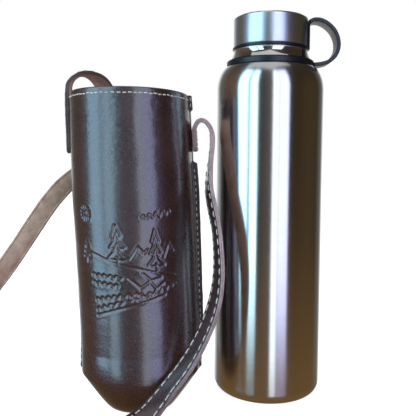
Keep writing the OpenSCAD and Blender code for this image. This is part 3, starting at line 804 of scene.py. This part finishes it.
# Each row is a point of the strap's middle and the direction its smooth face looks in.
ROUTE = np.array([
    (-159.5, -9, 193, -1, 0, 0), (-159.9, -9, 208, -1, 0, 0), (-160.4, -9, 223, -1, 0, 0),
    (-160.9, -8, 236, -1, 0, 0), (-161.2, -5, 245.5, -1, 0, 0.2), (-159.2, 0.5, 253, -0.8, -0.3, 0.7),
    (-155, 8, 257.8, -0.4, -0.3, 1), (-149, 15.5, 258.8, 0, 0, 1), (-143, 23.5, 255.5, 0.2, 0.4, 1),
    (-139.3, 32, 248.5, 0.2, 0.8, 0.6), (-137.3, 39.5, 239, 0.1, 1, 0.2), (-136.6, 44, 227, 0, 1, 0),
    (-137.8, 47, 213, 0, 1, 0), (-142, 49.5, 199, 0, 1, 0), (-151, 50.5, 187, 0, 1, 0),
    (-164, 48, 176, 0, 1, 0), (-178, 43, 164, 0, 1, 0.1), (-190, 38, 149, 0, 1, 0.1),
    (-201, 34, 132, 0, 1, 0.1), (-212, 30, 114, -0.1, 1, 0), (-224, 25, 95, -0.3, 1, 0),
    (-237, 19, 76, -0.5, 1, 0), (-250, 11, 58, -0.7, 1, 0), (-262, 0, 41, -0.9, 0.8, 0),
    (-271, -14, 26, -1, 0.5, 0), (-275, -31, 14, -1, 0.2, 0), (-274, -50, 9, -1, 0, 0),
    (-267, -70, 8.5, -1, -0.4, 0), (-254, -88, 8.5, -0.8, -0.8, 0), (-236, -102, 8.5, -0.5, -1, 0),
    (-214, -111, 8.5, -0.2, -1, 0), (-190, -115, 8.5, 0, -1, 0), (-166, -115, 8.5, 0, -1, 0),
    (-143, -112.5, 8.5, 0.1, -1, 0), (-122, -108, 8.6, 0.1, -1, 0.1), (-105, -101, 9.5, 0, -1, 0.3),
    (-92.5, -91, 13.5, -0.3, -0.8, 0.5), (-83, -80.5, 20.5, -0.5, -0.7, 0.5),
    (-75, -73.5, 29, -0.65, -0.6, 0.45), (-66.8, -69, 38.5, -0.7, -0.55, 0.4),
    (-58.6, -65, 50.5, -0.75, -0.5, 0.35), (-52, -61, 62.5, -0.8, -0.5, 0.3),
    (-46.3, -57, 76, -0.85, -0.5, 0.2), (-42.5, -54, 91, -0.9, -0.45, 0.1), (-41, -51, 107, -0.95, -0.4, 0),
    (-41.5, -47, 123, -1, -0.35, 0), (-43, -42, 138, -1, -0.3, 0), (-46, -37, 152, -1, -0.3, 0),
    (-48.5, -31, 166, -1, -0.25, 0), (-48.3, -26, 180, -1, -0.15, 0), (-46.8, -22, 193, -1, 0, 0),
    (-46, -19, 204, -1, 0, 0), (-47.6, -17, 212.5, -1, 0, -0.4), (-52, -16, 218.6, -0.4, 0, -1),
    (-57, -15.5, 218.8, 0.5, 0, -1), (-60.4, -15.5, 213, 1, 0, -0.2), (-60.2, -15.5, 204.5, 1, 0, 0),
    (-59.5, -15.5, 195, 1, 0, 0),
], float)
STRAP_W, PLY = 16.0, 1.7


def strap_frame(u):
    """Middle, direction along, direction out and direction across at places u along the route."""
    p = ROUTE[:, :3]
    n = ROUTE[:, 3:] / np.linalg.norm(ROUTE[:, 3:], axis=1)[:, None]
    last = len(ROUTE) - 1

    def middle(u):
        i = np.minimum(np.floor(u).astype(int), last - 1)
        s = (u - i)[:, None]
        p0, p1, p2, p3 = (p[np.clip(i + k, 0, last)] for k in (-1, 0, 1, 2))
        return 0.5 * (2 * p1 + (p2 - p0) * s + (2 * p0 - 5 * p1 + 4 * p2 - p3) * s * s
                      + (3 * p1 - p0 - 3 * p2 + p3) * s ** 3)

    u = np.atleast_1d(np.asarray(u, float))
    along = middle(np.minimum(u + 0.05, last)) - middle(np.maximum(u - 0.05, 0))
    along /= np.linalg.norm(along, axis=1)[:, None]
    i = np.minimum(np.floor(u).astype(int), last - 1)
    out = n[i] + (n[i + 1] - n[i]) * (u - i)[:, None]
    out -= along * np.sum(out * along, axis=1)[:, None]
    out /= np.linalg.norm(out, axis=1)[:, None]
    return middle(u), along, out, np.cross(along, out)


def strap_lengths():
    """How far along the strap each point of the route is."""
    p = ROUTE[:, :3]
    return np.concatenate([[0], np.cumsum(np.linalg.norm(np.diff(p, axis=0), axis=1))])


def build_strap(looks):
    """The strap's two plies, its two rows of thread and the thread at its ends."""
    lengths = strap_lengths()
    total = lengths[-1]
    spacing = 1.0
    s = np.arange(0, total, spacing)
    s = np.concatenate([[0, 0.6, 1.6, 3.0, 5.0], s[s > 6], [total]])
    u = np.interp(s, lengths, np.arange(len(lengths)))
    middle, _, out, across = strap_frame(u)
    half = STRAP_W / 2
    row = half - 2.6    # the line of thread along each edge
    # rounded ends: the tails narrow over the last few millimetres
    to_end = np.minimum(s, total - s)
    narrow = np.where(to_end < 5, np.sqrt(np.clip(1 - ((5 - to_end) / 5.6) ** 2, 0.05, 1)), 1.0)
    wobble = field(np.stack([s * 0, s * 0, s], -1), 11, 2.2, 3) * 0.22

    slots = [looks["strap_leather"], looks["edge"], looks["suede"]]

    def ply(name, profile, node, slot):
        """profile: (across, height, material of the strip that starts here)."""
        points = []
        for y, h, _ in profile:
            w = (y * narrow + np.sign(y) * wobble * (abs(y) > row + 1.5))[:, None]
            points.append(middle + across * w + out * h)
        points = np.stack(points, axis=1)
        n = len(profile)
        bumps = field(points[:, n // 2], 12, 4.0, 3) * 0.12
        points = points + (out * bumps[:, None])[:, None, :] * 0.6
        faces = [*grid_faces(len(s), n), *end_caps(len(s), n)]
        kinds = [profile[i % n][2] for i in range(len(faces) - 2)] + [1, 1]
        add_mesh(name, points.reshape(-1, 3) * MM, faces, slots, body="carrier", nodes=[node], slot=slot,
                 sharp=50, face_materials=kinds)

    e = 0.03
    # smooth face up: stitch grooves, rounded shoulders, raw cut sides
    top = [(half, 0.3 + e, 1), (half + 0.02, 1.05, 1), (half - 0.25, 1.45, 0), (half - 0.8, 1.65, 0),
           (half - 1.5, PLY, 0), (row + 0.55, PLY, 0), (row + 0.2, PLY - 0.22, 0), (row - 0.2, PLY - 0.22, 0),
           (row - 0.55, PLY, 0), (row - 1.6, PLY + 0.06, 0), (0, PLY + 0.1, 0)]
    mirrored = [(-y, h) for y, h, _ in top[::-1][1:]]
    kinds_mirrored = [k for _, _, k in top[::-1][1:]]
    kinds_mirrored = kinds_mirrored[1:] + [1]
    upper = top + [(y, h, k) for (y, h), k in zip(mirrored, kinds_mirrored)]
    upper += [(-half + 0.25, e, 2), (half - 0.25, e, 1)]
    ply("strap_leather_face", upper, "strap_outer", "case_leather")
    groove = half - 2.0
    low = [(-half, -0.3 - e, 1), (-half - 0.02, -1.0, 1), (-half + 0.3, -1.5, 2), (-half + 0.9, -PLY, 2),
           (-groove - 0.45, -PLY, 2), (-groove, -PLY + 0.3, 2), (-groove + 0.45, -PLY, 2),
           (0, -PLY - 0.05, 2)]
    mirrored = [(-y, h, k) for y, h, k in low[::-1][1:]]
    lower = low + [(y, h, 1 if abs(y) >= half - 0.35 else 2) for y, h, _ in mirrored]
    lower += [(half - 0.25, -e, 2), (-half + 0.25, -e, 1)]
    ply("strap_flesh_face", lower, "strap_lining", "suede")

    def row_at(u, side):
        m, t, n, w = (v[0] for v in strap_frame(u))
        return m + n * (PLY - 0.12) + w * side * row, t, n

    stitches = []
    for v in np.arange(38, total - 38 + 1e-6, 7.0):
        place_u = float(np.interp(v, lengths, np.arange(len(lengths))))
        for side in (-1, 1):
            at, _, n = row_at(place_u, side)
            ahead, behind = row_at(place_u + 0.1, side)[0], row_at(place_u - 0.1, side)[0]
            stitches.append((at, ahead - behind, n, 5.0, 0.95))
    stitch_row("strap_thread", stitches, looks, "strap_stitches")

    def anchor(name, u_low, u_high, node):
        rows = []
        for side in (-1, 1):
            for k in range(5):
                at, t, n = row_at(u_low + (u_high - u_low) * k / 4, side)
                rows.append((at, t, n, 3.4, 0.9))
        for u_end in (u_low, u_high):
            for k in (-1, 0, 1):
                m, t, n, w = (v[0] for v in strap_frame(u_end))
                rows.append((m + n * (PLY - 0.02) + w * 3 * k, w, n, 2.3, 0.9))
        stitch_row(name, rows, looks, node)

    anchor("left_anchor_thread", 0.25, 2.0, "left_anchor_stitches")
    last = len(ROUTE) - 1
    anchor("right_anchor_thread", last - 0.3, last - 1.7, "right_anchor_stitches")


# ---------------------------------------------------------------- stage

def softbox(name, at, target, size, radiance, colour):
    """A soft rectangular light, which the camera doesn't see."""
    data = bpy.data.lights.new(name, "AREA")
    data.shape = "RECTANGLE"
    data.size, data.size_y = size
    data.energy = radiance * math.pi * size[0] * size[1]
    data.color = colour
    lamp = bpy.data.objects.new(name, data)
    bpy.context.scene.collection.objects.link(lamp)
    lamp.location = at
    lamp.rotation_euler = (Vector(target) - lamp.location).to_track_quat("-Z", "Y").to_euler()
    lamp.visible_camera = False


def window(name, azimuth, degrees, radiance, colour, low=-0.05, distance=1.2, high=1.7):
    """A tall soft light, at an angle round the bottle from straight in front, and so many degrees wide."""
    a = math.radians(azimuth)
    middle = (low + high) / 2
    at = (distance * math.sin(a), -distance * math.cos(a), middle)
    width = 2 * distance * math.tan(math.radians(degrees / 2))
    softbox(name, at, (0, 0, middle), (width, high - low), radiance, colour)


# The dim room in reflections, from the far left (0) to the far right (1).
ROOM = [(0.0, (0.16, 0.11, 0.07)), (0.28, (0.04, 0.036, 0.034)), (0.44, (0.10, 0.095, 0.095)),
        (0.52, (0.13, 0.13, 0.135)), (0.64, (0.06, 0.056, 0.052)), (0.78, (0.04, 0.032, 0.024)),
        (0.92, (0.045, 0.030, 0.014)), (1.0, (0.07, 0.046, 0.024))]


def build_world():
    """White to the eye, a dim room in reflections, and a little soft light on everything else."""
    world = bpy.data.worlds.new("studio")
    bpy.context.scene.world = world
    world.use_nodes = True
    tree = world.node_tree
    new, link = tree.nodes.new, tree.links.new

    def span(value, low, high, out_low=0.0, out_high=1.0):
        node = new("ShaderNodeMapRange")
        for key, number in (("From Min", low), ("From Max", high), ("To Min", out_low), ("To Max", out_high)):
            node.inputs[key].default_value = number
        link(value, node.inputs["Value"])
        return node.outputs[0]

    def towards(factor, socket, colour):
        node = new("ShaderNodeMix")
        node.data_type = "RGBA"
        link(factor, node.inputs["Factor"])
        link(socket, node.inputs[6])
        node.inputs[7].default_value = (*colour, 1)
        return node.outputs[2]

    def choose(switch, off, on):
        node = new("ShaderNodeMixShader")
        for k, socket in enumerate((switch, off, on)):
            link(socket, node.inputs[k])
        return node.outputs[0]

    white = tree.nodes["Background"]
    white.inputs["Color"].default_value = (1, 1, 1, 1)
    path = new("ShaderNodeLightPath").outputs
    parts = new("ShaderNodeSeparateXYZ")
    link(new("ShaderNodeTexCoord").outputs["Generated"], parts.inputs[0])
    x, y, z = parts.outputs
    across = new("ShaderNodeValToRGB")
    link(span(x, -1, 1), across.inputs["Fac"])
    fill_ramp(across.color_ramp, ROOM)
    # warm below the horizon in front, grey behind, and a bright strip right at the back
    colour = towards(span(z, -0.15, -0.40), across.outputs["Color"], (0.20, 0.115, 0.045))
    colour = towards(span(y, 0.4, 0.8), colour, (0.20, 0.195, 0.19))
    colour = towards(span(y, 0.75, 0.99), colour, (1.3, 1.35, 1.4))
    room = new("ShaderNodeBackground")
    link(colour, room.inputs["Color"])
    soft = new("ShaderNodeBackground")
    soft.inputs["Color"].default_value = (0.95, 0.97, 1.0, 1)
    link(span(y, -0.2, 0.8, 0.16, 0.55), soft.inputs["Strength"])
    seen = choose(path["Is Glossy Ray"], soft.outputs[0], room.outputs[0])
    final = choose(path["Is Camera Ray"], seen, white.outputs[0])
    link(final, tree.nodes["World Output"].inputs["Surface"])


def build_stage(looks):
    """A wide pale floor just under the set, and the lights."""
    size, under = 30.0, -0.0002
    corners = [(-size, -size, under), (size, -size, under), (size, size, under), (-size, size, under)]
    floor = add_mesh("floor", corners, [(0, 1, 2, 3)], [looks["floor"]])
    floor.visible_glossy = False
    floor.visible_diffuse = False
    build_world()
    window("window_far_left", -63, 23, 3.5, (0.42, 0.76, 1.0), low=-0.16)
    window("window_frame", -50, 6, 1.0, (0.34, 0.66, 0.95))
    window("window_left", -38, 16, 3.2, (0.50, 0.82, 1.0), low=-0.28)
    window("window_right", 7.5, 12, 2.3, (0.74, 0.88, 1.0), low=-0.5)
    window("window_lilac", 25, 21, 2.7, (0.57, 0.63, 1.0), low=-0.3)
    softbox("top_fill", (-0.1, -0.1, 1.6), (0, 0, 0.2), (1.2, 1.2), 0.6, (0.95, 0.97, 1.0))


# ---------------------------------------------------------------- the scene

def make_looks():
    return {
        "steel": brushed_steel("brushed_steel"),
        "steel_lid": brushed_steel("brushed_steel_lid_side", (0.62, 0.66, 0.72), rough=0.36, anisotropy=0.4),
        "steel_top": brushed_steel("brushed_steel_lid_top", rough=0.3, anisotropy=0.6),
        "polished": polished_steel("polished_steel"),
        "liner": satin_steel("satin_steel"),
        "rubber": moulded("black_rubber", (0.006, 0.009, 0.014), 0.40),
        "plug": moulded("black_plastic", (0.022, 0.022, 0.024), 0.38, speckle=3000, bump=0.08),
        "silicone": moulded("clear_silicone", (0.62, 0.62, 0.60), 0.42),
        "getter": satin_steel("getter_metal"),
        "foam": foam("rigid_foam"),
        "leather": leather("case_leather"),
        "strap_leather": leather("strap_leather", wear_and_hollow_shade=False),
        "edge": raw_edge("raw_edge"),
        "dark_edge": shade_darkened_edge("shade_darkened_edge"),
        "suede": suede("flesh_side"),
        "thread": waxed_thread("cream_thread"),
        "floor": floor_paint("pale_floor"),
    }


# CAD nodes that stay as they are, each with its finished material
CARRIED_OVER = {"inner_liner": "liner", "base_plate": "steel", "vacuum_getter": "getter", "lid_plug": "plug",
                "lid_insulation": "foam", "lid_gasket": "silicone"}

bpy.context.scene.view_settings.view_transform = "Standard"
make_camera()
looks = make_looks()
build_bottle(looks)
build_loop(looks)
build_band(looks)
for node, look in CARRIED_OVER.items():
    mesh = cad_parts[node].data
    mesh.materials.clear()
    mesh.materials.append(looks[look])
build_case(looks)
build_case_stitches(looks)
build_strap(looks)
build_stage(looks)
